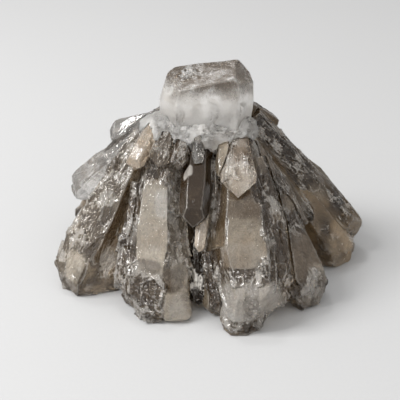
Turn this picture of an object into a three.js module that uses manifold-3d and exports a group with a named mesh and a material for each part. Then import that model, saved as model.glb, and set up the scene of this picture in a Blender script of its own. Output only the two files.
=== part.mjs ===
// A smoky quartz cluster: stout, tapering crystals that spread downwards and outwards like a half-open fan
// from a milky root mass, with one blunt crystal standing on top. It rests on the worn tips of its lowest
// crystals.
//
// Units are millimetres and +Z is up. While the cluster is grown, X runs to the right, Y to the back and Z
// is height above the surface it stands on. Each crystal is given by where it starts and where its point is.
// At the end the whole group is moved so that its origin is the centre of its footprint.

import * as THREE from "three";
import { ConvexGeometry } from "three/addons/geometries/ConvexGeometry.js";
import { mergeVertices } from "three/addons/utils/BufferGeometryUtils.js";
import Module from "manifold-3d";

const wasm = await Module();
wasm.setup();

// ---------------------------------------------------------------------------------------------------------
// Driving dimensions
// ---------------------------------------------------------------------------------------------------------

const GAP = 0.3; // clear seam between two crystals that grew against each other
const SIDES = 6; // quartz is six-sided
const FACE_TURN = (2 * Math.PI) / SIDES;
const CAP_SLOPE = 0.79; // a point's face moves this far in for each millimetre along the crystal: 38 degrees
const LUMP_DETAIL = 2; // how finely a lump of the root mass is faceted
const LUMP_WAVES = 4; // how close together its swellings are
const LUMP_ROUGHNESS = 0.09; // how far they stand out, as a share of its half-width
const MERGE = 1e-4; // coordinates closer than this are the same
const SAME_CORNER = 1e-3; // corners closer than this are one corner
const PARALLEL = 1e-6; // planes whose normals span less volume than this have no single corner
const FLOOR = { normal: new THREE.Vector3(0, 0, -1), reach: 0 }; // nothing reaches below the surface

// ---------------------------------------------------------------------------------------------------------
// Materials
// ---------------------------------------------------------------------------------------------------------

const clearQuartz = { color: 0xb9b5ad, roughness: 0.12, metalness: 0 };
const smokyQuartz = { color: 0x857c70, roughness: 0.15, metalness: 0 };
const darkQuartz = { color: 0x564d42, roughness: 0.2, metalness: 0 };
const stainedQuartz = { color: 0xb7a58a, roughness: 0.25, metalness: 0 };
const milkyQuartz = { color: 0xd9d7d1, roughness: 0.4, metalness: 0 };

// ---------------------------------------------------------------------------------------------------------
// Building crystals
// ---------------------------------------------------------------------------------------------------------

const cluster = new THREE.Group();
const grown = []; // each finished crystal's own outline, which later ones grow against

// The corner where three planes meet, or null if they have no single corner.
function cornerOf(a, b, c) {
  const bc = new THREE.Vector3().crossVectors(b.normal, c.normal);
  const volume = a.normal.dot(bc);
  if (Math.abs(volume) < PARALLEL) return null;
  const ca = new THREE.Vector3().crossVectors(c.normal, a.normal);
  const ab = new THREE.Vector3().crossVectors(a.normal, b.normal);
  return bc
    .multiplyScalar(a.reach)
    .addScaledVector(ca, b.reach)
    .addScaledVector(ab, c.reach)
    .divideScalar(volume);
}

// The closed convex solid behind a set of planes, with every plane moved out by swell.
function solidBehind(planes, swell = 0) {
  const moved = planes.map((p) => ({
    normal: p.normal,
    reach: p.reach + (p === FLOOR ? 0 : swell),
  }));
  const corners = [];
  for (let i = 0; i < moved.length; i++)
    for (let j = i + 1; j < moved.length; j++)
      for (let k = j + 1; k < moved.length; k++) {
        const corner = cornerOf(moved[i], moved[j], moved[k]);
        const kept =
          corner &&
          moved.every((p) => p.normal.dot(corner) <= p.reach + MERGE) &&
          !corners.some((other) => other.distanceTo(corner) < SAME_CORNER);
        if (kept) corners.push(corner);
      }
  return solidOf(new ConvexGeometry(corners));
}

// A three.js geometry as a manifold-3d solid.
function solidOf(geometry) {
  geometry.deleteAttribute("normal");
  geometry.deleteAttribute("uv");
  const merged = mergeVertices(geometry, MERGE);
  return new wasm.Manifold(
    new wasm.Mesh({
      numProp: 3,
      vertProperties: merged.attributes.position.array,
      triVerts: new Uint32Array(merged.index.array),
    }),
  );
}

// A manifold-3d solid as a three.js geometry.
function geometryOf(solid) {
  const mesh = solid.getMesh();
  const geometry = new THREE.BufferGeometry();
  geometry.setAttribute(
    "position",
    new THREE.BufferAttribute(mesh.vertProperties, 3),
  );
  geometry.setIndex(new THREE.BufferAttribute(mesh.triVerts, 1));
  geometry.computeVertexNormals();
  return geometry;
}

// One value for every face, or the face's own value from a list.
const each = (value, face) => (Array.isArray(value) ? value[face] : value);

// The planes of one crystal: twelve long faces, which widen from the root to a shoulder and narrow again to
// the point, six faces at the point, and the break at the root.
//   root, tip   the ends of the line the crystal grew along
//   facing      the way that its first long face looks
//   flats       how far each of the six long faces lies from that line at the shoulder, turning from facing
//   shoulder    where the crystal is widest, as a share of its length
//   rootShare   its width at the root, as a share of its width at the shoulder
//   lean        how much it narrows beyond the shoulder, for each millimetre along it
//   caps        how far each face of the point stands off the tip
//   blunt       how much of the point is worn off
//   breaks      other flat breaks: the way each one looks, and how far it lies from the tip
function crystalPlanes({
  root,
  tip,
  facing,
  flats,
  shoulder = 0.6,
  rootShare = 0.6,
  lean = 0.06,
  caps = [0, 2, 0, 2, 0, 2],
  blunt = 0,
  breaks = [],
}) {
  const start = new THREE.Vector3(...root);
  const end = new THREE.Vector3(...tip);
  const along = end.clone().sub(start);
  const length = along.length();
  along.normalize();
  const first = new THREE.Vector3(...facing);
  first.addScaledVector(along, -first.dot(along)).normalize();
  const widest = start.clone().addScaledVector(along, length * shoulder);

  // A plane whose outward side is `side`, leaning by `slant` along the crystal, at `reach` from `point`.
  const plane = (side, slant, point, reach) => {
    const normal = side.clone().addScaledVector(along, slant);
    const steep = normal.length();
    normal.divideScalar(steep);
    return { normal, reach: normal.dot(point) + reach / steep };
  };

  const planes = [FLOOR];
  for (let i = 0; i < SIDES; i++) {
    const side = first.clone().applyAxisAngle(along, i * FACE_TURN);
    const rootTaper = (flats[i] * (1 - rootShare)) / (length * shoulder);
    planes.push(plane(side, -rootTaper, widest, flats[i]));
    planes.push(plane(side, each(lean, i), widest, flats[i]));
    planes.push(plane(side, CAP_SLOPE, end, caps[i] * CAP_SLOPE));
  }
  planes.push(plane(along, 0, end, -blunt));
  planes.push(plane(along.clone().negate(), 0, start, 0));
  for (const { looks, reach } of breaks)
    planes.push(plane(new THREE.Vector3(...looks).normalize(), 0, end, reach));
  return planes;
}

// The largest piece of a solid: a cut can leave loose crumbs beside it.
function mainPiece(solid) {
  const pieces = solid.decompose();
  pieces.sort((a, b) => b.volume() - a.volume());
  return pieces[0];
}

// Adds one finished piece to the cluster.
function addMesh(name, quartz, solid) {
  const material = new THREE.MeshStandardMaterial(quartz);
  const mesh = new THREE.Mesh(geometryOf(solid), material);
  mesh.name = name;
  cluster.add(mesh);
}

// Grows one crystal, with any side crystals that grew in one piece with it, against what is already there.
function grow(name, quartz, shape, ...sideShapes) {
  let crystal = null;
  let swollen = null;
  for (const one of [shape, ...sideShapes]) {
    const planes = crystalPlanes(one);
    const body = solidBehind(planes);
    const wider = solidBehind(planes, GAP);
    crystal = crystal ? crystal.add(body) : body;
    swollen = swollen ? swollen.add(wider) : wider;
  }
  for (const other of grown) crystal = crystal.subtract(other);
  grown.push(swollen);
  addMesh(name, quartz, mainPiece(crystal));
}

// ---------------------------------------------------------------------------------------------------------
// The crown: one stout, worn crystal that stands on top
// ---------------------------------------------------------------------------------------------------------

grow("crown_crystal", milkyQuartz, {
  root: [2, 0, 45],
  tip: [3, 4, 80],
  facing: [0, -1, 0.1],
  flats: [10, 13.5, 12.5, 10, 13, 14],
  shoulder: 0.4,
  rootShare: 0.95,
  lean: [0.06, 0.05, 0.05, 0.1, 0.2, 0.24],
  caps: [4, 3, 3, -8, 2, 2],
  breaks: [
    { looks: [-0.17, -0.34, 0.92], reach: -8 },
    { looks: [-0.17, -0.1, 0.97], reach: -9 },
    { looks: [0.75, -0.3, 0.6], reach: 2.5 },
  ],
});

// ---------------------------------------------------------------------------------------------------------
// Crystals at the front
// ---------------------------------------------------------------------------------------------------------

// The broad crystal at the front, with a flat window face. Its point is at its left corner.
grow(
  "front_right_crystal",
  smokyQuartz,
  {
    root: [10.5, -4, 46],
    tip: [10, -47.6, -2],
    facing: [0, -0.75, 0.66],
    flats: [11, 7.5, 8, 12, 17, 14.5],
    shoulder: 0.56,
    rootShare: 0.5,
    lean: [0.1, 0.24, 0.2, 0.06, 0.02, 0.0],
    caps: [0, 0, 2, 2, 6, 4],
  },
  {
    root: [5, -9, 42],
    tip: [6, -37, 9],
    facing: [-0.3, -0.75, 0.6],
    flats: [5.2, 3.2, 4, 4, 4, 4],
    shoulder: 0.3,
    rootShare: 0.6,
  },
  {
    root: [18, -8, 42],
    tip: [26, -36, 8],
    facing: [0.3, -0.75, 0.55],
    flats: [6.4, 6, 5, 5, 6, 5.5],
    shoulder: 0.5,
    rootShare: 0.6,
  },
);

// The tall crystal to its left, worn blunt at its foot, with a rounded lobe on its right.
grow(
  "front_left_crystal",
  smokyQuartz,
  {
    root: [-12, -3, 47],
    tip: [-15, -40, -7],
    facing: [-0.2, -0.78, 0.58],
    flats: [9.5, 10, 10, 12, 10, 10],
    shoulder: 0.66,
    rootShare: 0.5,
    lean: [0.06, 0.02, 0, 0.06, 0.05, 0.05],
    caps: [0, -2, 0, 2, 4, 2],
  },
  {
    root: [-20, -13, 36],
    tip: [-25, -30, 4],
    facing: [-0.5, -0.75, 0.4],
    flats: [4, 3.5, 4, 4, 4, 4],
    shoulder: 0.7,
    rootShare: 0.5,
  },
  {
    root: [-8, -27, 18],
    tip: [-6.5, -40.5, -5],
    facing: [0.1, -0.8, 0.5],
    flats: [5.4, 4.6, 4, 4, 4.6, 5],
    shoulder: 0.75,
    rootShare: 0.5,
    blunt: 3,
  },
);

// The crystal on the left, bright above its ridge and dark below it.
grow(
  "left_crystal",
  smokyQuartz,
  {
    root: [-17, 0, 47],
    tip: [-46.5, -18.5, -7],
    facing: [-0.45, -0.6, 0.55],
    flats: [9, 9, 10, 11, 15, 11],
    shoulder: 0.62,
    rootShare: 0.55,
    lean: [0.1, 0.12, 0.1, 0.04, 0.02, 0.06],
    caps: [-1, -3, 0, 2, 8, 4],
  },
  {
    root: [-22, -9, 40],
    tip: [-37, -22, 10],
    facing: [-0.2, -0.75, 0.5],
    flats: [3.6, 3.6, 4, 4, 4, 4],
    shoulder: 0.6,
    rootShare: 0.5,
  },
);

// The broad dark crystal on the right.
grow(
  "right_crystal",
  darkQuartz,
  {
    root: [14, 4, 49],
    tip: [54, 6.5, 2],
    facing: [0.26, -0.94, 0.18],
    flats: [7, 9, 8, 7, 7.5, 8.8],
    shoulder: 0.7,
    rootShare: 0.85,
    lean: [0.06, 0.1, 0.1, 0.06, 0.06, 0.06],
    caps: [-2, 2, 2, 2, 4, 5],
    blunt: 1,
  },
  {
    root: [14, -2, 48],
    tip: [38, -5, 18],
    facing: [0.1, -0.9, 0.3],
    flats: [3.2, 4, 4, 4, 3.4, 3.4],
    shoulder: 0.5,
    rootShare: 0.7,
  },
);

// The rounded foot between the two right-hand crystals.
grow("front_right_foot_crystal", smokyQuartz, {
  root: [18, -4, 40],
  tip: [36, -32, -3],
  facing: [0.4, -0.75, 0.5],
  flats: [8, 8, 9, 8, 9, 9],
  shoulder: 0.75,
  blunt: 3,
});

// The pale foot under the right-hand crystal.
grow("right_foot_crystal", clearQuartz, {
  root: [30, 2, 30],
  tip: [51, -2, -3],
  facing: [0.3, -0.8, 0.4],
  flats: [6.5, 7, 6, 6, 7, 7.5],
  shoulder: 0.8,
  blunt: 2,
});

// ---------------------------------------------------------------------------------------------------------
// Small crystals between the large ones at the front
// ---------------------------------------------------------------------------------------------------------

// The dark crystal in the cleft.
grow("cleft_crystal", darkQuartz, {
  root: [0, -5, 47],
  tip: [-2.2, -31, 29],
  facing: [0, -0.6, 0.8],
  flats: [4.5, 4.6, 4.5, 5, 4.6, 4.6],
  shoulder: 0.55,
  rootShare: 0.8,
});

// The stained nub above the window face.
grow("nub_crystal", stainedQuartz, {
  root: [12.8, -7, 47.5],
  tip: [11.8, -26, 36.9],
  facing: [0, -0.5, 0.85],
  flats: [5, 5.2, 5, 4, 5, 5.2],
  shoulder: 0.6,
  rootShare: 0.7,
});

// A grey shard between the nub and the cleft.
grow("shard_crystal", smokyQuartz, {
  root: [8, -6, 50],
  tip: [8.2, -19, 39],
  facing: [-0.2, -0.6, 0.75],
  flats: [3, 3, 3, 3, 3, 3],
});

// A thin pale sliver that crosses the cleft.
grow("sliver_crystal", stainedQuartz, {
  root: [2.5, -16, 38],
  tip: [-0.4, -34, 22],
  facing: [0.3, -0.8, 0.4],
  flats: [1.8, 2, 2, 2, 2, 2],
});

// A short white needle that hangs from the root mass over the cleft.
grow("white_needle_crystal", milkyQuartz, {
  root: [-0.6, -8, 53],
  tip: [-0.6, -17, 43],
  facing: [0, -0.8, 0.6],
  flats: [1.8, 1.8, 1.8, 1.8, 1.8, 1.8],
  blunt: 1,
});

// A stained finger with a worn, rounded end.
grow("left_finger_crystal", stainedQuartz, {
  root: [-14, -4, 53],
  tip: [-22, -15.5, 41],
  facing: [-0.2, -0.7, 0.6],
  flats: [3, 3.2, 3, 3, 3, 3.2],
  blunt: 1.5,
});

// Two stained shards beside it.
grow("stained_shard_left", stainedQuartz, {
  root: [-9, -5, 52],
  tip: [-14, -16, 42],
  facing: [0, -0.7, 0.7],
  flats: [3.2, 3.4, 3, 3, 3.4, 3.4],
});

grow("stained_shard_right", stainedQuartz, {
  root: [-5, -6, 51],
  tip: [-7, -17, 42],
  facing: [0, -0.7, 0.7],
  flats: [3, 3, 3, 3, 3, 3],
});

// The thin crystal wedged between the two large ones on the right.
grow("band_crystal", smokyQuartz, {
  root: [16, -3, 48],
  tip: [34, -17, 21],
  facing: [0.1, -0.8, 0.5],
  flats: [3.2, 3.2, 3, 3, 3, 3.2],
});

// Three small crystals in the foot of the cleft.
grow("lower_left_crystal", darkQuartz, {
  root: [0, -16, 26],
  tip: [-0.5, -34, 2],
  facing: [0, -0.8, 0.6],
  flats: [3.4, 3, 3, 3, 3, 3],
});

grow("lower_right_crystal", smokyQuartz, {
  root: [1.5, -20, 28],
  tip: [6.5, -41, 4],
  facing: [-0.2, -0.8, 0.6],
  flats: [3.4, 3.4, 3, 3, 3, 3],
});

grow("lower_foot_crystal", smokyQuartz, {
  root: [2, -20, 20],
  tip: [4, -37, 1],
  facing: [0.2, -0.8, 0.6],
  flats: [3, 3, 3, 3, 3, 3],
});

// ---------------------------------------------------------------------------------------------------------
// Crystals at the back and sides
// ---------------------------------------------------------------------------------------------------------

// The clear crystal behind the left one.
grow("left_clear_crystal", clearQuartz, {
  root: [-13, 5, 51],
  tip: [-45, 17, 16],
  facing: [-0.5, -0.6, 0.6],
  flats: [5.5, 6, 5, 5, 5, 6],
  shoulder: 0.75,
});

// A pair of clear crystals above it, grown side by side.
grow(
  "left_upper_crystal",
  clearQuartz,
  {
    root: [-13, 8, 47],
    tip: [-32, 15, 38.5],
    facing: [-0.4, -0.6, 0.7],
    flats: [5.5, 6, 5, 4, 4, 5],
    shoulder: 0.6,
    rootShare: 0.9,
    lean: 0.12,
    blunt: 2,
  },
  {
    root: [-11, 4, 49],
    tip: [-33, 8, 33],
    facing: [-0.2, -0.7, 0.7],
    flats: [3.6, 4, 4, 4, 4, 3.6],
    shoulder: 0.3,
    rootShare: 0.9,
  },
);

// The crystal that shows as a ridge above the dark one on the right.
grow("right_ridge_crystal", smokyQuartz, {
  root: [16, 12, 44.5],
  tip: [52, 20.5, 7.5],
  facing: [0.3, -0.6, 0.7],
  flats: [6, 6, 6, 6, 6, 6.5],
  shoulder: 0.6,
  lean: 0.12,
});

// The dark spur beside the crown.
grow("crown_spur_crystal", darkQuartz, {
  root: [6, 5, 57],
  tip: [28, 13, 41],
  facing: [0.3, -0.8, 0.5],
  flats: [5.5, 6.5, 5, 5, 5, 5.5],
  shoulder: 0.5,
  rootShare: 0.9,
  blunt: 6,
});

// The two large crystals at the back.
grow("back_left_crystal", smokyQuartz, {
  root: [-7, 5, 50],
  tip: [-24, 43, -5],
  facing: [-0.2, 0.8, 0.5],
  flats: [10, 11, 11, 12, 11, 10],
  shoulder: 0.68,
  rootShare: 0.45,
  lean: [0.08, 0.02, 0.1, 0.06, 0.12, 0.06],
  caps: [-2, 2, 4, 2, 3, 0],
  blunt: 2,
});

grow(
  "back_right_crystal",
  smokyQuartz,
  {
    root: [9, 6, 50],
    tip: [18, 43, -3],
    facing: [0.3, 0.8, 0.5],
    flats: [11, 11, 12, 12, 10, 12],
    shoulder: 0.62,
    rootShare: 0.45,
    caps: [0, 4, 2, 2, 2, -2],
  },
  {
    root: [19, 12, 40],
    tip: [31, 34, 8],
    facing: [0.5, 0.7, 0.4],
    flats: [4.5, 4.5, 4, 4, 4, 4.5],
    shoulder: 0.6,
    rootShare: 0.6,
  },
);

// One dark crystal at each back corner.
grow("left_back_crystal", darkQuartz, {
  root: [-12, 7, 46],
  tip: [-43, 29, -5],
  facing: [-0.6, 0.3, 0.6],
  flats: [8, 9, 9, 9, 9, 8],
  shoulder: 0.66,
  rootShare: 0.5,
  blunt: 1,
});

grow("right_back_crystal", darkQuartz, {
  root: [13, 8, 47],
  tip: [45, 33, -5],
  facing: [0.6, 0.3, 0.6],
  flats: [8, 8.5, 9, 9, 9, 8],
  shoulder: 0.68,
  rootShare: 0.5,
  caps: [0, 2, 2, 2, -2, 2],
});

// The clear crystal between the large ones at the back.
grow("back_centre_crystal", clearQuartz, {
  root: [0, 6, 51],
  tip: [-3, 44, 12],
  facing: [0, 0.6, 0.8],
  flats: [6, 6.5, 6.5, 6, 6.5, 6.5],
  shoulder: 0.64,
  rootShare: 0.6,
});

// Three stout crystals low down, which fill the gaps between the ones above.
grow("left_under_crystal", smokyQuartz, {
  root: [-10, 3, 46],
  tip: [-42, 7, -4],
  facing: [-0.7, 0, 0.6],
  flats: [8, 9, 9, 9, 9, 9],
  shoulder: 0.66,
  rootShare: 0.5,
  blunt: 2,
});

grow("right_under_crystal", smokyQuartz, {
  root: [12, 6, 46],
  tip: [46, 14, -4],
  facing: [0.7, 0, 0.6],
  flats: [7, 9, 9, 9, 9, 9],
  shoulder: 0.66,
  rootShare: 0.5,
  blunt: 2,
});

grow("back_under_crystal", darkQuartz, {
  root: [0, 8, 44],
  tip: [-3, 34, -4],
  facing: [0, 0.8, 0.5],
  flats: [7, 8, 8, 9, 8, 8],
  shoulder: 0.6,
  rootShare: 0.6,
  blunt: 2,
});

// Five short crystals around the back of the crown.
grow("back_nub_left_crystal", stainedQuartz, {
  root: [-7, 8, 53],
  tip: [-17, 28, 36],
  facing: [-0.2, 0.6, 0.7],
  flats: [4.2, 4.4, 4, 4, 4.4, 4.4],
  rootShare: 0.7,
});

grow("back_nub_right_crystal", clearQuartz, {
  root: [5, 9, 53],
  tip: [10, 31, 37],
  facing: [0.1, 0.6, 0.8],
  flats: [4.4, 4, 4, 4, 4.2, 4],
  rootShare: 0.7,
});

grow("back_finger_crystal", stainedQuartz, {
  root: [-1, 10, 54],
  tip: [-4, 26, 41],
  facing: [0, 0.7, 0.7],
  flats: [3, 3, 3, 3, 3, 3],
  blunt: 1.5,
});

grow("right_finger_crystal", clearQuartz, {
  root: [11, 9, 53],
  tip: [27, 25, 35],
  facing: [0.4, 0.5, 0.7],
  flats: [3.4, 3.6, 3, 3, 3.4, 3.4],
});

grow("left_shoulder_crystal", clearQuartz, {
  root: [-10, 7, 53],
  tip: [-29, 24, 33],
  facing: [-0.4, 0.5, 0.7],
  flats: [4.4, 4.6, 4, 4, 4.4, 4.4],
});

// The thick crystal that points straight down in the middle, out of sight inside the others.
grow("centre_crystal", darkQuartz, {
  root: [0, 1, 48],
  tip: [0, 1, -8],
  facing: [0, -1, 0],
  flats: [13, 14, 14, 14, 14, 14],
  shoulder: 0.55,
  rootShare: 0.6,
  blunt: 11,
});

// ---------------------------------------------------------------------------------------------------------
// The milky root mass, which fills what is left between the crystals where they start
// ---------------------------------------------------------------------------------------------------------

// A rough rounded lump: its middle and its half-widths.
function lump(middle, halfWidths) {
  const ball = new THREE.IcosahedronGeometry(1, LUMP_DETAIL);
  const position = ball.attributes.position;
  const corner = new THREE.Vector3();
  for (let i = 0; i < position.count; i++) {
    corner.fromBufferAttribute(position, i);
    const { x, y, z } = corner;
    const wave = Math.sin(LUMP_WAVES * (x + z)) * Math.cos(LUMP_WAVES * (y - x));
    corner.multiplyScalar(1 + LUMP_ROUGHNESS * wave);
    position.setXYZ(i, corner.x, corner.y, corner.z);
  }
  ball.scale(...halfWidths);
  ball.translate(...middle);
  return solidOf(ball);
}

let mass = lump([0, -2, 50], [17.5, 10.5, 7.5])
  .add(lump([-12, -2, 49.5], [8, 8.5, 6.5]))
  .add(lump([11, -2, 49], [8, 9, 7]))
  .add(lump([0, 6, 47], [16, 12, 9]))
  .add(lump([-1, 2, 38], [13, 14, 10]));
for (const crystal of grown) mass = mass.subtract(crystal);
addMesh("root_mass", milkyQuartz, mainPiece(mass));

// ---------------------------------------------------------------------------------------------------------
// The origin is the centre of the footprint
// ---------------------------------------------------------------------------------------------------------

const box = new THREE.Box3().setFromObject(cluster);
const centre = box.getCenter(new THREE.Vector3());
cluster.position.set(-centre.x, -centre.y, -box.min.z);

export default cluster;
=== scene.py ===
import bpy
import math
import numpy as np
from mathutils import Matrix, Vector


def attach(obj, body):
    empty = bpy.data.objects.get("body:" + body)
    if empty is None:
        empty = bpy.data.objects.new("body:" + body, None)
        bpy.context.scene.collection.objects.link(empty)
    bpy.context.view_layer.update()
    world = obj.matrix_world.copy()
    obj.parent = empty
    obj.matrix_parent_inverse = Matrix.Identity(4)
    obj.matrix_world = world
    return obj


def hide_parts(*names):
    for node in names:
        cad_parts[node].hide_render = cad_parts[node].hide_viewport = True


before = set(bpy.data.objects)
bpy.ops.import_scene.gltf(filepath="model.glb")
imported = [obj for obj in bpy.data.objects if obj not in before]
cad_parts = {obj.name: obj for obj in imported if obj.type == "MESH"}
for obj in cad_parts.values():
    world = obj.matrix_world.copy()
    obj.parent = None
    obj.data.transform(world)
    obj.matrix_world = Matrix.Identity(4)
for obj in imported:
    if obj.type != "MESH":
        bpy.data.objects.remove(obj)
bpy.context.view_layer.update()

# ---------------------------------------------------------------------------
# The table and the light. The stone stands on one wide sheet of pale matt card,
# with a large soft lamp and two small ones high round it, and plain bright walls.
# ---------------------------------------------------------------------------
SHEET_SIDE = 6.0
SHEET_TONE = 0.475
SHEET_TONE_LOW = 0.455
GRAIN_SCALE = 900.0
CARD_ROUGHNESS = 0.75
bpy.ops.object.select_all(action="DESELECT")
bpy.ops.mesh.primitive_plane_add(size=SHEET_SIDE, location=(0.0, 0.0, 0.0))
sheet = bpy.context.object
sheet.name = "pale_sheet"
card = bpy.data.materials.new("pale_matt_card")
card.use_nodes = True
card_shader = card.node_tree.nodes["Principled BSDF"]
card_shader.inputs["Roughness"].default_value = CARD_ROUGHNESS
card_place = card.node_tree.nodes.new("ShaderNodeTexCoord")
card_grain = card.node_tree.nodes.new("ShaderNodeTexNoise")
card_grain.inputs["Scale"].default_value = GRAIN_SCALE
card_tone = card.node_tree.nodes.new("ShaderNodeMapRange")
card_tone.inputs["To Min"].default_value = SHEET_TONE_LOW
card_tone.inputs["To Max"].default_value = SHEET_TONE
card.node_tree.links.new(card_place.outputs["Object"], card_grain.inputs["Vector"])
card.node_tree.links.new(card_grain.outputs["Fac"], card_tone.inputs["Value"])
card.node_tree.links.new(card_tone.outputs["Result"], card_shader.inputs["Base Color"])
sheet.data.materials.append(card)

ROOM_BRIGHT = 1.10
ROOM_DIM = 0.40
BRIGHT_SIDE = (-0.24, -0.67, 0.70)
ROOM_FADE = (-0.3, 1.0)
ROOM_COLOUR = (1.0, 0.996, 0.992, 1.0)
world = bpy.data.worlds.new("bright_room")
bpy.context.scene.world = world
world.use_nodes = True
room = world.node_tree.nodes["Background"]
room.inputs["Color"].default_value = ROOM_COLOUR
room_place = world.node_tree.nodes.new("ShaderNodeTexCoord")
room_side = world.node_tree.nodes.new("ShaderNodeVectorMath")
room_side.operation = "DOT_PRODUCT"
room_side.inputs[1].default_value = BRIGHT_SIDE
room_rise = world.node_tree.nodes.new("ShaderNodeMapRange")
room_rise.interpolation_type = "SMOOTHSTEP"
room_rise.inputs["From Min"].default_value = ROOM_FADE[0]
room_rise.inputs["From Max"].default_value = ROOM_FADE[1]
room_rise.inputs["To Min"].default_value = ROOM_DIM
room_rise.inputs["To Max"].default_value = ROOM_BRIGHT
world.node_tree.links.new(room_place.outputs["Generated"], room_side.inputs[0])
world.node_tree.links.new(room_side.outputs["Value"], room_rise.inputs["Value"])
world.node_tree.links.new(room_rise.outputs["Result"], room.inputs["Strength"])

LAMPS = (
    ("soft_lamp", (-0.62, -0.12, 0.62), 0.34, 7.2),
    ("small_lamp", (-0.16, 0.30, 0.80), 0.12, 0.9),
    ("spark_lamp", (-0.44, -0.24, 0.74), 0.07, 0.9),
)
LAMP_AIM = Vector((0.0, 0.0, 0.02))
for lamp_name, lamp_place, lamp_side, lamp_power in LAMPS:
    bpy.ops.object.light_add(type="AREA", location=lamp_place)
    lamp = bpy.context.object
    lamp.name = lamp_name
    lamp.data.shape = "SQUARE"
    lamp.data.size = lamp_side
    lamp.data.energy = lamp_power
    lamp.rotation_euler = (LAMP_AIM - Vector(lamp_place)).to_track_quat("-Z", "Y").to_euler()

LOOK_DOWN = math.radians(27.0)
LOOK_AT = Vector((-0.00464, 0.00129, 0.023))
LOOK_FROM = 0.340
LENS = 90.0
bpy.ops.object.camera_add(
    location=LOOK_AT + LOOK_FROM * Vector((0.0, -math.cos(LOOK_DOWN), math.sin(LOOK_DOWN))),
    rotation=(math.radians(90.0) - LOOK_DOWN, 0.0, 0.0),
)
camera = bpy.context.object
camera.name = "camera"
camera.data.lens = LENS
camera.data.clip_start = 0.01
bpy.context.scene.camera = camera
bpy.context.scene.view_settings.view_transform = "Standard"

# ---------------------------------------------------------------------------
# The crown crystal. One blunt quartz crystal that grew upwards out of the top
# of the cluster: milky and wispy below, smoky in a band under its worn point.
# ---------------------------------------------------------------------------
MM = 0.001


def place(tree, kind, inputs=None, **settings):
    """Adds a node to a tree, with its settings and with what feeds each input."""
    node = tree.nodes.new(kind)
    for name, value in settings.items():
        setattr(node, name, value)
    for name, value in (inputs or {}).items():
        if isinstance(value, bpy.types.NodeSocket):
            tree.links.new(value, node.inputs[name])
        else:
            node.inputs[name].default_value = value
    return node


def figure(tree, operation, a, b=0.0, c=0.0):
    """The result of a sum on numbers."""
    return place(tree, "ShaderNodeMath", {0: a, 1: b, 2: c}, operation=operation).outputs[0]


def arrow(tree, operation, a, b):
    """A sum on two places or directions."""
    return place(tree, "ShaderNodeVectorMath", {0: a, 1: b}, operation=operation).outputs


def scaled(tree, a, times):
    """A place or a direction made longer or shorter."""
    return place(tree, "ShaderNodeVectorMath", {0: a, "Scale": times}, operation="SCALE").outputs[0]


def ramp(tree, value, low, high, start=0.0, end=1.0):
    """A number that climbs smoothly from start to end while value goes from low to high."""
    feeds = {"Value": value, "From Min": low, "From Max": high, "To Min": start, "To Max": end}
    return place(tree, "ShaderNodeMapRange", feeds, interpolation_type="SMOOTHSTEP").outputs[0]


def noise(tree, spot, scale, detail, **more):
    """Soft random clouds: a number, and a colour with three numbers of its own."""
    feeds = {"Vector": spot, "Scale": scale, "Detail": detail, **more}
    return place(tree, "ShaderNodeTexNoise", feeds).outputs


def blend_colour(tree, share, under, over):
    """Two colours laid over each other by a share."""
    feeds = {0: share, 6: under, 7: over}
    return place(tree, "ShaderNodeMix", feeds, data_type="RGBA").outputs[2]


def new_group(name, kind, inputs, outputs):
    """An empty node group with named sockets, and its input and output nodes."""
    group = bpy.data.node_groups.new(name, kind)
    for label, socket in inputs:
        group.interface.new_socket(label, in_out="INPUT", socket_type=socket)
    for label, socket in outputs:
        group.interface.new_socket(label, in_out="OUTPUT", socket_type=socket)
    feed = group.nodes.new("NodeGroupInput")
    give = group.nodes.new("NodeGroupOutput")
    return group, feed.outputs, give.inputs


HALF = (0.5, 0.5, 0.5)
SCOOP_DEPTH = 0.5
BOWL_SINK = 0.35


def scoops(tree, spot, scale):
    """Shell-like breaks: hollow scoops, each tipped a little. Gives their height and a random colour."""
    cells = place(tree, "ShaderNodeTexVoronoi", {"Vector": spot, "Scale": scale})
    slope = arrow(tree, "SUBTRACT", cells.outputs["Color"], HALF)[0]
    reach = arrow(tree, "SUBTRACT", spot, cells.outputs["Position"])[0]
    tip = arrow(tree, "DOT_PRODUCT", reach, slope)["Value"]
    apart = cells.outputs["Distance"]
    bowl = figure(tree, "MULTIPLY_ADD", apart, apart, -BOWL_SINK)
    return figure(tree, "MULTIPLY_ADD", bowl, SCOOP_DEPTH / scale, tip), cells.outputs["Color"]


SHARD_SIZE = 0.004
SMALL_SHARDS = 2.6
SMALL_SHARD_RISE = 0.55
BEND_PITCH = 0.8
BEND_REACH = 1.2


def shards(tree, grain):
    """Broken shards of two sizes with bent edges. Gives their height and a value per shard that sets its
    painted glint and painted shade.
    """
    bend = noise(tree, grain, BEND_PITCH / SHARD_SIZE, 2.0)["Color"]
    bend = scaled(tree, arrow(tree, "SUBTRACT", bend, HALF)[0], SHARD_SIZE * BEND_REACH)
    bent = arrow(tree, "ADD", grain, bend)[0]
    coarse, coarse_colour = scoops(tree, bent, 1.0 / SHARD_SIZE)
    fine, fine_colour = scoops(tree, bent, SMALL_SHARDS / SHARD_SIZE)
    coarse_lot = place(tree, "ShaderNodeSeparateXYZ", {0: coarse_colour}).outputs[0]
    fine_lot = place(tree, "ShaderNodeSeparateXYZ", {0: fine_colour}).outputs[0]
    height = figure(tree, "MULTIPLY_ADD", fine, SMALL_SHARD_RISE, coarse)
    tone = figure(tree, "MULTIPLY_ADD", coarse_lot, 0.5, figure(tree, "MULTIPLY", fine_lot, 0.5))
    return height, tone


STREAK_SIZE = 0.0032


def streaks(tree, fibre):
    """Uneven streaks that run along a crystal."""
    return noise(tree, fibre, 1.0 / STREAK_SIZE, 4.0, Roughness=0.65, Distortion=0.6)[0]


PATCH_SCALE = 130.0
PATCH_GAIN = 0.6
PATCH_EDGE = (0.66, 0.92)


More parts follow.
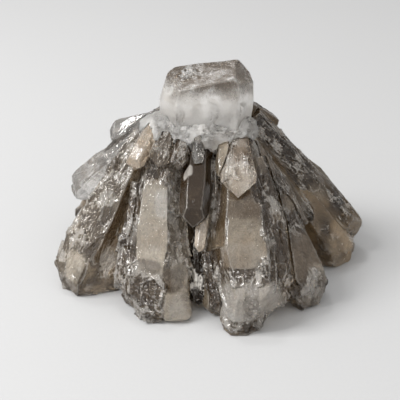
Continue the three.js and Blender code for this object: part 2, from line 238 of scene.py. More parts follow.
def broken_patches(tree, share, grain):
    """Turns a share of broken skin into patches with soft borders."""
    patches = noise(tree, grain, PATCH_SCALE, 1.0)[0]
    return ramp(tree, figure(tree, "MULTIPLY_ADD", share, PATCH_GAIN, patches), *PATCH_EDGE)


# The relief: broken shards and ridges, growth steps across the crystal, pits and a slow swell.
NUMBER = "NodeSocketFloat"
ARROW = "NodeSocketVector"
RIPPLE_SCALE = 90.0
RIPPLE_TURNS = 3.0
STEPS_ON_WHOLE_FACES = 0.15
PIT_WALL = (0.15, 0.5)
GLINT_TONE = (0.43, 0.50)
GLINT_STREAK = (0.43, 0.53)
relief, feed, give = new_group(
    "growth_relief", "GeometryNodeTree",
    [("Geometry", "NodeSocketGeometry"), ("Axis", ARROW), ("Shift", ARROW), ("Chip Slope", NUMBER),
     ("Step Size", NUMBER), ("Step Depth", NUMBER), ("Pit Size", NUMBER),
     ("Pit Depth", NUMBER), ("Sway Size", NUMBER), ("Sway Depth", NUMBER), ("Fracture Glint", NUMBER),
     ("Ridge Depth", NUMBER)],
    [("Geometry", "NodeSocketGeometry")],
)


def held(name, kind):
    """What the skin holds under a name, inside the relief."""
    feeds = {"Name": name}
    return place(relief, "GeometryNodeInputNamedAttribute", feeds, data_type=kind).outputs["Attribute"]


spot = place(relief, "GeometryNodeInputPosition").outputs[0]
spot = arrow(relief, "ADD", spot, feed["Shift"])[0]
grain = held("grain", "FLOAT_VECTOR")
fibre = held("fibre", "FLOAT_VECTOR")
broken = broken_patches(relief, held("crumble", "FLOAT"), grain)
chips, tone = shards(relief, grain)
chips = figure(relief, "MULTIPLY", chips, feed["Chip Slope"])
chips = figure(relief, "MULTIPLY_ADD", streaks(relief, fibre), feed["Ridge Depth"], chips)
chips = figure(relief, "MULTIPLY", chips, broken)
along = arrow(relief, "DOT_PRODUCT", spot, feed["Axis"])["Value"]
turn = figure(relief, "DIVIDE", along, feed["Step Size"])
turn = figure(relief, "MULTIPLY_ADD", noise(relief, spot, RIPPLE_SCALE, 1.0)[0], RIPPLE_TURNS, turn)
tooth = figure(relief, "SUBTRACT", figure(relief, "FRACT", turn), 0.5)
strength = place(relief, "ShaderNodeTexWhiteNoise", {"W": figure(relief, "FLOOR", turn)}, noise_dimensions="1D")
steps = figure(relief, "MULTIPLY", tooth, strength.outputs["Value"])
steps = figure(relief, "MULTIPLY", steps, feed["Step Depth"])
steps = figure(relief, "MULTIPLY", steps, figure(relief, "ADD", broken, STEPS_ON_WHOLE_FACES))
pit_scale = figure(relief, "DIVIDE", 1.0, feed["Pit Size"])
pit_cells = place(relief, "ShaderNodeTexVoronoi", {"Vector": spot, "Scale": pit_scale})
pits = ramp(relief, pit_cells.outputs["Distance"], *PIT_WALL, -1.0, 0.0)
pits = figure(relief, "MULTIPLY", figure(relief, "MULTIPLY", pits, feed["Pit Depth"]), broken)
swell = noise(relief, spot, figure(relief, "DIVIDE", 1.0, feed["Sway Size"]), 2.0)[0]
swell = figure(relief, "MULTIPLY", figure(relief, "SUBTRACT", swell, 0.5), feed["Sway Depth"])
depth = figure(relief, "ADD", figure(relief, "ADD", chips, steps), figure(relief, "ADD", pits, swell))
push = scaled(relief, place(relief, "GeometryNodeInputNormal").outputs[0], depth)
moved = place(relief, "GeometryNodeSetPosition", {"Geometry": feed["Geometry"], "Offset": push})
# Facets that flash get the second finish: its pale white is a painted reflection of the light on broken faces.
flash = figure(relief, "MULTIPLY", ramp(relief, tone, *GLINT_TONE), broken)
flash = figure(relief, "MULTIPLY", flash, ramp(relief, streaks(relief, fibre), *GLINT_STREAK))
glint_lit = figure(relief, "GREATER_THAN", flash, figure(relief, "SUBTRACT", 1.0, feed["Fracture Glint"]))
backed = place(relief, "GeometryNodeSetMaterialIndex",
               {"Geometry": moved.outputs[0], "Selection": glint_lit, "Material Index": 1})
relief.links.new(backed.outputs[0], give["Geometry"])
RELIEF_SOCKETS = {item.name: item.identifier for item in relief.interface.items_tree
                  if item.in_out == "INPUT"}


def points_of(crystal):
    """Where the points of a skin are, in metres."""
    points = np.empty(len(crystal.data.vertices) * 3)
    crystal.data.vertices.foreach_get("co", points)
    return points.reshape(-1, 3)


def facing_of(crystal):
    """Which way the skin faces at each of its points."""
    facing = np.empty(len(crystal.data.vertices) * 3)
    crystal.data.vertex_normals.foreach_get("vector", facing)
    return facing.reshape(-1, 3)


def touch(value, look=None, near=None, reach=None):
    """A place on a skin with a value of its own: a face that looks one way, a soft patch, or both."""
    return value, look, near, reach


FACE_EDGE = 0.945
FACE_BLEND = 0.03
PATCH_RIM = 1.15
PATCH_BLEND = 0.3


def cover_of(crystal, look, near, reach):
    """How fully a touch covers each point of a skin."""
    cover = np.ones(len(crystal.data.vertices))
    if look:
        towards = facing_of(crystal) @ np.array(Vector(look).normalized())
        cover *= np.clip((towards - FACE_EDGE) / FACE_BLEND, 0.0, 1.0)
    if near:
        apart = np.abs((points_of(crystal) / MM - np.array(near)) / np.array(reach)) ** 3
        cover *= np.clip((PATCH_RIM - apart.sum(1) ** (1.0 / 3.0)) / PATCH_BLEND, 0.0, 1.0)
    return cover


def store(crystal, name, kind, values):
    """Stores a number or an arrow for every point of a skin."""
    layer = crystal.data.attributes.new(name, kind, "POINT")
    field = "vector" if kind == "FLOAT_VECTOR" else "value"
    layer.data.foreach_set(field, values.astype(np.float32).ravel())


def tint(crystal, name, share):
    """Stores a share for every point: one value, or a value all over and then touches, in their order."""
    everywhere, *touches = share if isinstance(share, tuple) else (share,)
    cover = np.full(len(crystal.data.vertices), float(everywhere))
    for value, look, near, reach in touches:
        cover += (value - cover) * cover_of(crystal, look, near, reach)
    store(crystal, name, "FLOAT", cover)


EDGE_GAIN = 4.0


def edges_of(crystal):
    """Stores how sharply the skin turns outwards, so that edges can look rubbed and carry a painted highlight,
    and creases a painted shade.
    """
    mesh = crystal.data
    points = points_of(crystal)
    facing = facing_of(crystal)
    pairs = np.empty(len(mesh.edges) * 2, np.int64)
    mesh.edges.foreach_get("vertices", pairs)
    one, other = pairs.reshape(-1, 2).T
    near = np.bincount(one, minlength=len(points)) + np.bincount(other, minlength=len(points))

    def round_about(values):
        total = np.bincount(one, values[other], len(points)) + np.bincount(other, values[one], len(points))
        return total / near

    middle = np.stack([round_about(points[:, axis]) for axis in range(3)], 1)
    step = np.linalg.norm(points[one] - points[other], axis=1).mean()
    turn = ((points - middle) * facing).sum(1) / step
    turn = 0.5 * turn + 0.5 * round_about(turn)
    store(crystal, "edge", "FLOAT", np.clip(turn * EDGE_GAIN, -1.0, 1.0))


def rub_down(crystal, name, times, group=""):
    """Smooths a skin, all over or only where a group of its points says."""
    rub = crystal.modifiers.new(name, "SMOOTH")
    rub.factor = 0.5
    rub.iterations = times
    rub.vertex_group = group
    bpy.ops.object.modifier_apply(modifier=rub.name)


WELD = 0.000002
SHIFT_APART = Vector((0.37, 0.21, 0.13))
STREAK_LENGTH = 4.5


def skin(node, axis, finish, voxel=0.45, wear=4, crumble=0.3, milk=0.0, stain=0.0, smoke=0.5,
         chips=(5.6, 0.42), steps=(1.6, 0.10), pits=(1.4, 0.15), sway=(12.0, 0.35), fracture_glint=0.6,
         stretch=1.7, ridge=0.0, rounded=None):
    """One crystal's worn and broken skin, made from a fine copy of its plain faces. Sizes in millimetres."""
    bpy.ops.object.select_all(action="DESELECT")
    crystal = bpy.data.objects.new("quartz_" + node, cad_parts[node].data.copy())
    bpy.context.collection.objects.link(crystal)
    bpy.context.view_layer.objects.active = crystal
    crystal.select_set(True)
    bpy.ops.object.mode_set(mode="EDIT")
    bpy.ops.mesh.select_all(action="SELECT")
    bpy.ops.mesh.remove_doubles(threshold=WELD)
    bpy.ops.mesh.normals_make_consistent(inside=False)
    bpy.ops.object.mode_set(mode="OBJECT")
    remesh = crystal.modifiers.new("even_mesh", "REMESH")
    remesh.mode = "VOXEL"
    remesh.voxel_size = voxel * MM
    bpy.ops.object.modifier_apply(modifier=remesh.name)

    # A remesh can leave a stray speck, so only the largest part is kept.
    bpy.ops.mesh.separate(type="LOOSE")
    crumbs = sorted(bpy.context.selected_objects, key=lambda part: len(part.data.vertices))
    crystal = crumbs.pop()
    for crumb in crumbs:
        bpy.data.objects.remove(crumb)
    crystal.name = "quartz_" + node
    bpy.context.view_layer.objects.active = crystal
    rub_down(crystal, "wear", wear)
    if rounded:
        near, reach, times = rounded
        soften = crystal.vertex_groups.new(name="rounded")
        weights = cover_of(crystal, None, near, reach)
        for point in np.nonzero(weights)[0].tolist():
            soften.add([point], float(weights[point]), "REPLACE")
        rub_down(crystal, "rounding", times, soften.name)
        crystal.vertex_groups.clear()

    # What the relief and the finish read from the skin.
    for name, share in (("crumble", crumble), ("milk", milk), ("stain", stain), ("smoke", smoke)):
        tint(crystal, name, share)
    lie = Vector(axis).normalized()
    shift = SHIFT_APART * sorted(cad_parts).index(node)
    points = points_of(crystal)
    reach = points @ np.array(lie)
    store(crystal, "along", "FLOAT", reach)
    squeezed = points - np.outer(reach, lie) * (1.0 - 1.0 / stretch)
    squeezed = squeezed * (SHARD_SIZE / (chips[0] * MM)) + np.array(shift)
    store(crystal, "grain", "FLOAT_VECTOR", squeezed)
    drawn = points - np.outer(reach, lie) * (1.0 - 1.0 / STREAK_LENGTH) + np.array(shift)
    store(crystal, "fibre", "FLOAT_VECTOR", drawn)

    growth = crystal.modifiers.new("growth", "NODES")
    growth.node_group = relief
    values = {
        "Axis": lie, "Shift": shift,
        "Chip Slope": chips[1] * chips[0] * MM / SHARD_SIZE,
        "Step Size": steps[0] * MM, "Step Depth": steps[1] * MM,
        "Pit Size": pits[0] * MM, "Pit Depth": pits[1] * MM,
        "Sway Size": sway[0] * MM, "Sway Depth": sway[1] * MM, "Fracture Glint": fracture_glint,
        "Ridge Depth": ridge * MM,
    }
    for label, value in values.items():
        growth[RELIEF_SOCKETS[label]] = value
    bpy.ops.object.modifier_apply(modifier=growth.name)

    # No point goes below the table the stone stands on.
    points = points_of(crystal)
    points[:, 2] = np.maximum(points[:, 2], 0.0)
    crystal.data.vertices.foreach_set("co", points.ravel())
    crystal.data.update()
    edges_of(crystal)
    bpy.ops.object.shade_smooth()
    crystal.data.materials.clear()
    crystal.data.materials.append(finish)
    crystal.data.materials.append(fracture_glint_finish)
    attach(crystal, "root")
    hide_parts(node)


# Broken facets, seen at two finenesses.
SMALL_FACETS = 2.4
facets, feed, give = new_group(
    "broken_facets", "ShaderNodeTree", [("Vector", ARROW)],
    [("Height", NUMBER), ("Tone", NUMBER), ("Lot", NUMBER)],
)
large_tone = shards(facets, feed["Vector"])[1]
small_height, small_tone = shards(facets, scaled(facets, feed["Vector"], SMALL_FACETS))
facets.links.new(small_height, give["Height"])
facets.links.new(large_tone, give["Tone"])
facets.links.new(small_tone, give["Lot"])

# Healed veils: thin wispy sheets, and the soft clouds they lie in.
VEIL_TWIST = 0.8
VEIL_PRESENCE = (0.45, 0.62)
veils, feed, give = new_group(
    "healed_veils", "ShaderNodeTree", [("Vector", ARROW), ("Size", NUMBER), ("Thin", NUMBER)],
    [("Mask", NUMBER), ("Cloud", NUMBER)],
)
pitch = figure(veils, "DIVIDE", 1.0, feed["Size"])
cloud = noise(veils, feed["Vector"], pitch, 5.0, Roughness=0.6)[0]
twisted = noise(veils, feed["Vector"], figure(veils, "MULTIPLY", pitch, VEIL_TWIST), 6.0,
                Roughness=0.68, Distortion=1.2)[0]
sheet_line = figure(veils, "ABSOLUTE", figure(veils, "SUBTRACT", twisted, 0.5))
wisp = ramp(veils, sheet_line, 0.0, feed["Thin"], 1.0, 0.0)
presence = ramp(veils, cloud, *VEIL_PRESENCE)
veils.links.new(figure(veils, "MULTIPLY", wisp, presence), give["Mask"])
veils.links.new(cloud, give["Cloud"])

# Streaks along the crystal, which set where painted glints and painted shade fall and ridge the bump.
streak_group, feed, give = new_group("glint_streaks", "ShaderNodeTree", [("Vector", ARROW)], [("Raw", NUMBER)])
streak_group.links.new(streaks(streak_group, feed["Vector"]), give["Raw"])


def attribute(tree, name, output="Fac"):
    """What the skin holds under a name."""
    return place(tree, "ShaderNodeAttribute", attribute_name=name).outputs[output]


def grouped(tree, group, **feeds):
    """A shared effect, with what feeds it."""
    return place(tree, "ShaderNodeGroup", feeds, node_tree=group).outputs


# Where each part of the colour starts and ends, and how strongly it shows.
RUSTY = (0.58, 0.43, 0.28, 1.0)
SMOKE_CLOUD, SMOKE_LEVEL, SMOKE_RAMP = 0.6, 0.7, (0.05, 0.85)
BAND_PITCH, BAND_EDGE, BAND_CLOUD = 900.0, (0.52, 0.72), (0.4, 0.6)
RUST_SCALE, RUST_EDGE = 260.0, (0.2, 0.7)
FLECK_SCALE, PALE_FLECKS, DARK_FLECKS = 2200.0, (0.54, 0.70), (0.32, 0.46)
# The tones below set the painted glints and painted shade on broken facets, each shard painted lighter on its
# raised side; the rubbed edge is pale wear with a painted highlight, and the crease a painted shade.
FACET_TONE, STREAK_TONE, HEIGHT_SHADING = 0.3, 0.4, 60.0
CLOUD_MIDDLE, CLOUD_TONE = 0.53, 1.1
GLINT_FACETS, SHADED_HOLLOWS, MILK_FILLS = (0.492, 0.515), (0.465, 0.49), 0.75
WORN_HIGHLIT_EDGE, WORN_HIGHLIT_CLOUD = (0.12, 0.6), (0.35, 0.6)
CREASE_SHADE_EDGE, CREASE_SHADE_SHARE = (-0.7, -0.2), 0.4
# How rough each part is, and how far it stands up, in metres.
MILK_ROUGH, RUBBED_ROUGH, FLECK_ROUGH = 0.08, 0.25, 0.12
FACET_RISE_LEAST, BAND_RISE, FLECK_RISE, STREAK_RISE = 0.02, 0.00006, 0.00003, 0.0006
WAVE_SCALE, WAVE_RISE = 320.0, 0.00012
QUARTZ_BENDS_LIGHT = 1.54


def quartz(name, deep, pale, see_through, milky=(0.92, 0.872, 0.80, 1.0), haze=None,
           dark_fleck_and_shade=(0.078, 0.044, 0.016, 1.0), veil_size=7.0, veil_share=0.45, veil_thin=0.035,
           facet_rise=0.34, glint_share=0.95, hollows=0.9, bands=0.3, speckle=0.3, rim_wear_and_highlight=0.6,
           gloss=0.05, varnish=0.15, shine=0.5, cream=0.0, silvery=0.0):
    """Natural quartz: smoke in soft clouds, healed veils, milky patches, broken facets with painted glints and
    painted shade in the hollows between them, pale worn edges with a painted highlight, and painted shade in
    creases.
    """
    haze = haze or milky
    material = bpy.data.materials.new(name)
    material.use_nodes = True
    tree = material.node_tree
    shader = tree.nodes["Principled BSDF"]

    def times(a, b):
        return figure(tree, "MULTIPLY", a, b)

    def added(a, share, rest):
        return figure(tree, "MULTIPLY_ADD", a, share, rest)

    spot = place(tree, "ShaderNodeTexCoord").outputs["Object"]
    grain = attribute(tree, "grain", "Vector")
    edge = attribute(tree, "edge")
    crumble = broken_patches(tree, attribute(tree, "crumble"), grain)
    veil = grouped(tree, veils, Vector=spot, Size=veil_size * MM, Thin=veil_thin)
    cloud = veil["Cloud"]
    chip = grouped(tree, facets, Vector=grain)
    streak = grouped(tree, streak_group, Vector=attribute(tree, "fibre", "Vector"))["Raw"]
    fleck = noise(tree, grain, FLECK_SCALE, 3.0)[0]

    # The body: smoke, growth bands across the crystal, veils, iron stain and milk.
    shade = added(cloud, SMOKE_CLOUD, figure(tree, "SUBTRACT", SMOKE_LEVEL, attribute(tree, "smoke")))
    colour = blend_colour(tree, ramp(tree, shade, *SMOKE_RAMP), deep, pale)
    band = place(tree, "ShaderNodeTexNoise",
                 {"W": times(attribute(tree, "along"), BAND_PITCH), "Scale": 1.0, "Detail": 3.0,
                  "Roughness": 0.7}, noise_dimensions="1D").outputs[0]
    banded = times(ramp(tree, band, *BAND_EDGE, 0.0, bands), ramp(tree, cloud, *BAND_CLOUD))
    colour = blend_colour(tree, banded, colour, haze)
    colour = blend_colour(tree, times(veil["Mask"], veil_share), colour, haze)
    rust = ramp(tree, noise(tree, spot, RUST_SCALE, 4.0)[0], *RUST_EDGE)
    colour = blend_colour(tree, times(rust, attribute(tree, "stain")), colour, RUSTY)
    clouding = ramp(tree, times(attribute(tree, "milk"), times(cloud, 2.0)), 0.0, 1.0)
    colour = blend_colour(tree, clouding, colour, milky)

    # Pale and dark flecks inside the faces that are still whole.
    whole = figure(tree, "SUBTRACT", 1.0, crumble)
    pale_flecks = times(ramp(tree, fleck, *PALE_FLECKS, 0.0, speckle), whole)
    dark_flecks = times(ramp(tree, fleck, *DARK_FLECKS, speckle, 0.0), whole)
    colour = blend_colour(tree, pale_flecks, colour, haze)
    colour = blend_colour(tree, dark_flecks, colour, dark_fleck_and_shade)

    # Where the skin is broken, some facets get a painted glint in the milky colour and the hollows between them
    # a painted shade, each shard painted lighter towards its raised side.
    tone = added(chip["Lot"], FACET_TONE, times(chip["Tone"], FACET_TONE))
    tone = added(streak, STREAK_TONE, tone)
    tone = added(chip["Height"], HEIGHT_SHADING, tone)
    tone = added(figure(tree, "SUBTRACT", cloud, CLOUD_MIDDLE), CLOUD_TONE, tone)
    bright = times(ramp(tree, tone, *GLINT_FACETS), times(crumble, glint_share))
    colour = blend_colour(tree, bright, colour, milky)
    # Painted shade: the hollows between broken facets are darkened, less where the stone is milky.
    hollow = times(ramp(tree, tone, *SHADED_HOLLOWS, 1.0, 0.0), times(crumble, hollows))
    hollow = times(hollow, added(clouding, -MILK_FILLS, 1.0))
    colour = blend_colour(tree, hollow, colour, dark_fleck_and_shade)

    # Rubbed edges are pale, partly wear and partly a painted highlight, and creases are darkened with painted
    # shade.
    rub = times(ramp(tree, edge, *WORN_HIGHLIT_EDGE, 0.0, rim_wear_and_highlight), ramp(tree, cloud, *WORN_HIGHLIT_CLOUD, 0.4, 1.0))
    colour = blend_colour(tree, rub, colour, milky)
    colour = blend_colour(tree, ramp(tree, edge, *CREASE_SHADE_EDGE, CREASE_SHADE_SHARE, 0.0), colour, dark_fleck_and_shade)
    tree.links.new(colour, shader.inputs["Base Color"])

    rough = added(fleck, FLECK_ROUGH, added(rub, RUBBED_ROUGH, added(clouding, MILK_ROUGH, gloss)))
    tree.links.new(rough, shader.inputs["Roughness"])

    rise = times(chip["Height"], added(crumble, facet_rise, FACET_RISE_LEAST))
    rise = added(fleck, FLECK_RISE, added(band, BAND_RISE, rise))
    rise = added(times(streak, crumble), STREAK_RISE, rise)
    rise = added(noise(tree, spot, WAVE_SCALE, 3.0)[0], WAVE_RISE, rise)
    bump = place(tree, "ShaderNodeBump", {"Height": rise, "Distance": 1.0, "Strength": 1.0})
    tree.links.new(bump.outputs[0], shader.inputs["Normal"])

    shader.inputs["IOR"].default_value = QUARTZ_BENDS_LIGHT
    shader.inputs["Specular IOR Level"].default_value = shine
    shader.inputs["Coat Weight"].default_value = varnish
    shader.inputs["Coat Roughness"].default_value = 0.04
    shader.inputs["Coat IOR"].default_value = 1.6
    shader.inputs["Transmission Weight"].default_value = see_through
    shader.inputs["Metallic"].default_value = silvery
    shader.inputs["Subsurface Weight"].default_value = cream
    shader.inputs["Subsurface Radius"].default_value = (0.004, 0.004, 0.0038)
    return material


# The second finish of every skin, pale and nearly opaque: a painted reflection on broken facets.
fracture_glint_finish = quartz("fracture_painted_reflection", (0.72, 0.675, 0.60, 1.0), (0.98, 0.965, 0.94, 1.0), 0.2, silvery=0.2,
                  milky=(0.98, 0.955, 0.915, 1.0), facet_rise=0.45, gloss=0.08, glint_share=0.9, hollows=0.65)
milky_finish = quartz("milky_quartz_skin", (0.20, 0.155, 0.115, 1.0), (0.88, 0.84, 0.78, 1.0), 0.75,
                      milky=(0.985, 0.967, 0.937, 1.0), veil_size=6.0, veil_share=1.0, cream=0.1,
                      gloss=0.20, varnish=0.0, hollows=0.4, bands=0.1, speckle=0.06, veil_thin=0.06)
skin("crown_crystal", (1.0, 4.0, 35.0), milky_finish, voxel=0.4, wear=5, fracture_glint=0.1,
     sway=(9.0, 0.7), stretch=1.2,
     crumble=(0.0, touch(0.6, near=(-8.0, 0.0, 66.0), reach=(4.0, 5.0, 4.0)),
              touch(0.5, near=(-6.0, -7.0, 58.0), reach=(8.0, 3.0, 5.0))),
     milk=(0.7, touch(0.35, near=(-2.0, 5.0, 74.0), reach=(30.0, 30.0, 13.0)),
           touch(0.0, near=(0.0, 5.0, 76.0), reach=(30.0, 30.0, 10.0))),
     smoke=(0.35, touch(0.7, near=(2.0, 5.0, 74.0), reach=(30.0, 30.0, 13.0)),
            touch(1.0, near=(2.0, 5.0, 76.0), reach=(30.0, 30.0, 10.0))))

# ---------------------------------------------------------------------------
# The root mass. Milky massive quartz that fills the space between the roots of
# the crystals and holds them together; it is white, sugary and half clear.
# ---------------------------------------------------------------------------
skin("root_mass", (0.0, 0.0, 1.0), milky_finish, voxel=0.35, wear=3, crumble=0.55, smoke=0.15,
     milk=(0.75, touch(1.0, near=(-15.0, -7.0, 54.0), reach=(9.0, 6.0, 6.0))),
     chips=(2.2, 0.6), sway=(5.0, 1.4), steps=(2.0, 0.0), fracture_glint=0.5, stretch=1.0, ridge=0.2,
     stain=(0.1, touch(0.6, near=(-14.0, -10.0, 50.0), reach=(8.0, 5.0, 4.0)),
            touch(0.5, near=(-2.0, -10.0, 51.0), reach=(8.0, 5.0, 3.5))))

# ---------------------------------------------------------------------------
# The front right crystal. A broad smoky crystal whose flat window face shows the
# clear inside; its sides are broken, with painted glints and pale patches of painted
# reflection, and its foot is milky.
# ---------------------------------------------------------------------------
smoky = quartz("smoky_quartz_skin", (0.120, 0.068, 0.024, 1.0), (0.96, 0.84, 0.66, 1.0), 0.76,
               haze=(0.80, 0.68, 0.51, 1.0))
RIGHT_WINDOW = (0.0, -0.63, 0.78)
RIGHT_WINDOW_LOW = (0.0, -0.8, 0.6)
RIGHT_WINDOW_SIDE = (-0.86, -0.29, 0.42)
skin("front_right_crystal", (-0.5, -43.6, -48.0), smoky, voxel=0.35, wear=3, chips=(6.0, 0.45),
     fracture_glint=0.9,
     crumble=(0.5, touch(0.0, look=RIGHT_WINDOW), touch(0.0, look=RIGHT_WINDOW_SIDE),
              touch(0.0, look=RIGHT_WINDOW_LOW, near=(9.0, -37.0, 24.0), reach=(7.0, 6.0, 4.0)),
              touch(1.0, near=(18.0, -30.0, 26.0), reach=(4.0, 5.0, 5.0)),
              touch(1.0, near=(19.0, -37.0, 18.0), reach=(7.0, 6.0, 6.0)),
              touch(1.0, near=(9.0, -41.0, 18.0), reach=(8.0, 4.0, 2.5)),
              touch(1.0, near=(16.0, -19.0, 36.0), reach=(5.0, 6.0, 5.0)),
              touch(0.5, near=(8.0, -44.0, 7.0), reach=(11.0, 6.0, 8.0)),
              touch(1.0, near=(11.0, -43.0, 9.0), reach=(2.5, 6.0, 7.0)),
              touch(1.0, near=(12.0, -44.0, 3.0), reach=(9.0, 6.0, 2.0))),
     # The window face is painted greyer above and paler, warmer tan in its low part (the smoke, milk and stain
     # touches there), as painted reflection of the light it gives back and lets through.
     smoke=(0.9, touch(0.66, look=RIGHT_WINDOW),
            touch(0.85, near=(9.0, -24.0, 35.0), reach=(9.0, 5.0, 5.0)), touch(0.8, look=RIGHT_WINDOW_SIDE),
            touch(0.52, look=RIGHT_WINDOW_LOW, near=(9.0, -36.0, 24.0), reach=(7.0, 6.0, 6.0)),
            touch(1.0, near=(17.5, -26.0, 30.0), reach=(3.5, 4.0, 4.0)),
            touch(0.2, near=(9.0, -44.0, 9.0), reach=(14.0, 8.0, 8.0)),
            touch(0.8, near=(12.0, -44.0, 2.0), reach=(10.0, 6.0, 3.0))),
     milk=(0.0, touch(0.25, near=(9.0, -37.0, 23.0), reach=(7.0, 4.0, 4.0)),
           touch(0.8, near=(9.0, -44.0, 9.0), reach=(15.0, 8.0, 8.0)),
           touch(0.9, near=(5.0, -44.0, 9.0), reach=(4.0, 5.0, 5.0)),
           touch(0.1, near=(12.0, -44.0, 2.0), reach=(10.0, 6.0, 3.0))),
     stain=(0.15, touch(0.6, near=(9.0, -36.0, 24.0), reach=(7.0, 5.0, 6.0)),
            touch(0.3, near=(14.0, -42.0, 9.0), reach=(8.0, 6.0, 6.0))))

# ---------------------------------------------------------------------------
# The front left crystal. A tall smoky crystal with a long clear window face; it is
# stained near its root and has a rounded milky lobe at its foot.
# ---------------------------------------------------------------------------
LEFT_WINDOW = (-0.2, -0.74, 0.65)
LEFT_WINDOW_SIDE = (0.75, -0.5, 0.44)
skin("front_left_crystal", (-3.0, -37.0, -54.0), smoky, voxel=0.35, wear=3, chips=(5.5, 0.45),
     steps=(1.2, 0.2), fracture_glint=0.9, rounded=((-11.5, -37.0, 8.0), (7.0, 8.0, 13.0), 400),
     crumble=(0.7, touch(0.0, look=LEFT_WINDOW, near=(-19.5, -25.0, 27.0), reach=(5.5, 14.0, 12.0)),
              touch(1.0, near=(-28.0, -24.0, 22.0), reach=(3.0, 15.0, 15.0)),
              touch(0.9, look=LEFT_WINDOW_SIDE),
              touch(1.0, near=(-21.0, -37.5, 9.0), reach=(9.0, 5.0, 5.0)),
              touch(0.15, near=(-12.0, -33.0, 12.0), reach=(5.0, 4.0, 5.0)),
              touch(0.05, near=(-11.5, -38.0, 5.0), reach=(5.0, 6.0, 8.0))),
     smoke=(0.85, touch(0.42, look=LEFT_WINDOW, near=(-19.5, -25.0, 27.0), reach=(6.0, 14.0, 13.0)),
            touch(0.2, near=(-20.0, -32.0, 18.5), reach=(5.0, 5.0, 3.0)),
            touch(0.95, near=(-28.0, -24.0, 22.0), reach=(3.0, 15.0, 15.0)),
            touch(0.2, look=LEFT_WINDOW_SIDE),
            touch(0.85, near=(-21.5, -33.0, 16.5), reach=(5.0, 4.0, 2.5)),
            touch(0.3, near=(-11.5, -38.0, 6.0), reach=(5.0, 6.0, 8.0)),
            touch(0.9, near=(-13.0, -34.0, 13.0), reach=(3.5, 5.0, 3.5))),
     milk=(0.05, touch(0.3, look=LEFT_WINDOW, near=(-19.5, -25.0, 27.0), reach=(6.0, 14.0, 13.0)),
           touch(0.6, near=(-16.5, -21.0, 33.0), reach=(2.5, 5.0, 4.0)),
           touch(0.35, near=(-20.5, -31.5, 19.5), reach=(4.5, 4.0, 3.0)),
           touch(0.5, look=LEFT_WINDOW_SIDE),
           touch(0.5, near=(-10.5, -38.0, 3.0), reach=(4.0, 6.0, 7.0))),
     stain=(0.15, touch(0.9, near=(-18.0, -11.0, 42.0), reach=(9.0, 6.0, 5.0)),
            touch(0.6, near=(-19.5, -26.5, 26.0), reach=(4.0, 4.0, 4.0)),
            touch(0.0, near=(-11.5, -38.0, 6.0), reach=(5.0, 6.0, 8.0))))

# ---------------------------------------------------------------------------
# The crystals of the left side. A stout one, painted pale and glinting above its ridge
# where the light falls, and smoky brown deepened by painted shade below it, with two
# clear, watery ones behind and over it.
# ---------------------------------------------------------------------------
clear = quartz("clear_quartz_skin", (0.45, 0.39, 0.32, 1.0), (0.99, 0.985, 0.97, 1.0), 0.93, veil_share=0.3,
               hollows=0.85, bands=0.1, speckle=0.1, varnish=0.0, gloss=0.02)
LEFT_UPPER_FACE = (-0.48, -0.64, 0.6)
LEFT_LOWER_FACE = (0.33, -0.94, 0.07)
LEFT_UNDER_FACE = (0.61, -0.79, -0.03)
skin("left_crystal", (-29.5, -18.5, -54.0), smoky, voxel=0.38, wear=2, chips=(6.5, 0.4),
     fracture_glint=0.95, stretch=2.2, sway=(12.0, 0.2),
     # The upper face, turned to the light, is painted paler and broken into painted glints; the lower and under
     # faces, turned from it, are painted darker as painted shade.
     crumble=(0.6, touch(1.0, look=LEFT_UPPER_FACE), touch(0.1, look=LEFT_LOWER_FACE),
              touch(0.15, look=LEFT_UNDER_FACE),
              touch(0.35, near=(-45.0, -20.0, 8.0), reach=(4.0, 5.0, 7.0))),
     smoke=(0.6, touch(0.25, look=LEFT_UPPER_FACE), touch(0.85, look=LEFT_LOWER_FACE),
            touch(0.9, look=LEFT_UNDER_FACE)),
     milk=(0.25, touch(0.0, look=LEFT_LOWER_FACE), touch(0.0, look=LEFT_UNDER_FACE)),
     stain=(0.1, touch(0.35, look=LEFT_LOWER_FACE)))
skin("left_clear_crystal", (-32.0, 12.0, -35.0), clear, wear=4, crumble=0.4, smoke=0.38,
     sway=(6.0, 1.0), stretch=3.0)
skin("left_upper_crystal", (-19.0, 7.0, -8.5), clear, voxel=0.35, wear=3, crumble=0.4, smoke=0.4,
     sway=(5.0, 0.8), stretch=2.5)

# ---------------------------------------------------------------------------
# The crystals of the right side. The large dark one with its finely grained
# faces, the paler foot under it, and the ridge and the spur that show behind.
# ---------------------------------------------------------------------------
dark = quartz("dark_quartz_skin", (0.095, 0.052, 0.016, 1.0), (0.64, 0.45, 0.24, 1.0), 0.70, varnish=0.0,
              speckle=0.45, dark_fleck_and_shade=(0.04, 0.023, 0.01, 1.0), gloss=0.12, haze=(0.52, 0.40, 0.27, 1.0),
              veil_share=0.4, bands=0.2)
skin("right_crystal", (40.0, 2.5, -47.0), dark, wear=3, crumble=0.42, fracture_glint=0.3, chips=(4.0, 0.35),
     stretch=3.0, steps=(2.4, 0.2), sway=(8.0, 0.5),
     smoke=(0.75, touch(0.5, near=(34.0, 2.0, 27.0), reach=(7.0, 7.0, 7.0)),
            touch(0.45, near=(48.0, 4.0, 11.0), reach=(8.0, 9.0, 9.0))),
     milk=(0.0, touch(0.25, near=(33.0, 2.0, 27.0), reach=(6.0, 6.0, 6.0)),
           touch(0.15, near=(48.0, 4.0, 11.0), reach=(8.0, 9.0, 9.0))))
skin("right_foot_crystal", (21.0, -4.0, -33.0), dark, wear=4, crumble=0.3, fracture_glint=0.25,
     chips=(4.0, 0.35), smoke=(0.6, touch(0.3, near=(46.0, -2.0, 8.0), reach=(7.0, 8.0, 10.0))),
     milk=(0.05, touch(0.25, near=(46.0, -2.0, 8.0), reach=(7.0, 8.0, 9.0))))
